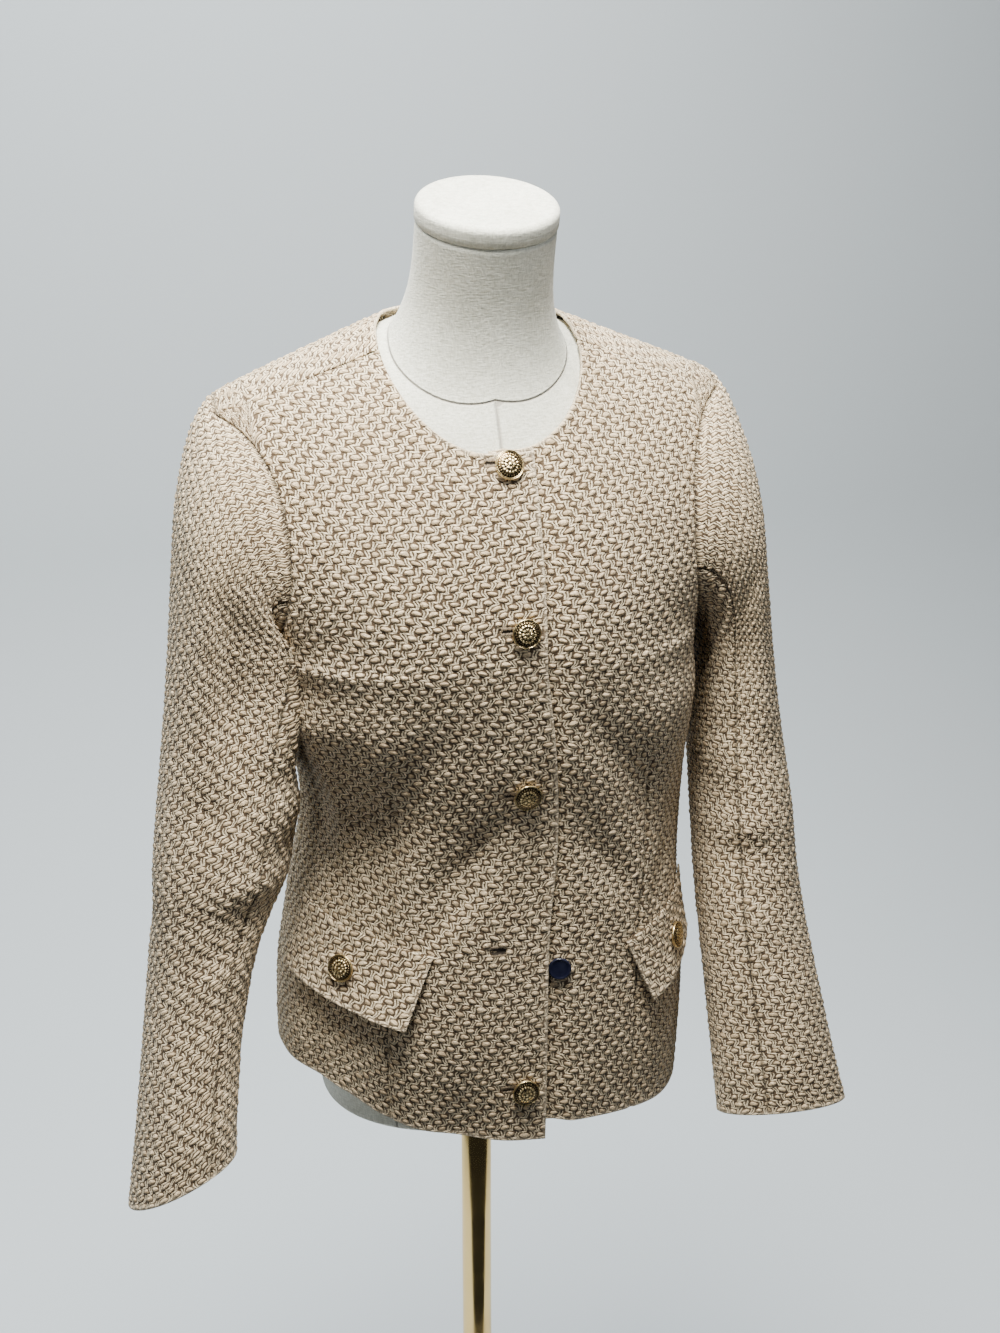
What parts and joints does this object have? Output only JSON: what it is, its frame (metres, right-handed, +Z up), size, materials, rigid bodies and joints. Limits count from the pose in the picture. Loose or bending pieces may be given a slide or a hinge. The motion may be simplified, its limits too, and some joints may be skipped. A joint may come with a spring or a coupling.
{
  "type": "collarless jacket on a limbless dress form with a stand",
  "caption": "Hip-length collarless tweed jacket with gilt buttons and pocket flaps, buttoned on a limbless linen dress form with a brass pole stand.",
  "frame": {"origin": "middle of the underside of the stand's base", "axes": "+Z up the pole, -Y towards the front of the jacket, +X towards the wearer's left side"},
  "size_m": [0.586, 0.33, 1.4278],
  "materials": {
    "tweed": "thick slub-yarn plain weave, oatmeal and cream",
    "gilt": "gilt, with dark patina in the recesses",
    "navy_button": "dark navy, satin",
    "linen": "off-white linen cover",
    "polished_brass": "polished"
  },
  "bodies": {
    "root": {"front_right": "tweed", "front_left": "tweed", "back": "tweed", "sleeve_right_upper": "tweed", "sleeve_right_under": "tweed", "sleeve_left_upper": "tweed", "sleeve_left_under": "tweed", "flap_right": "tweed", "flap_left": "tweed", "button_front_1": "gilt", "button_front_2": "gilt", "button_front_3": "gilt", "button_front_5": "gilt", "button_flap_right": "gilt", "button_flap_left": "gilt", "button_front_4": "navy_button", "form_torso": "linen", "form_neck_cap": "linen", "form_pole": "polished_brass", "form_base": "polished_brass"}
  },
  "joints": []
}
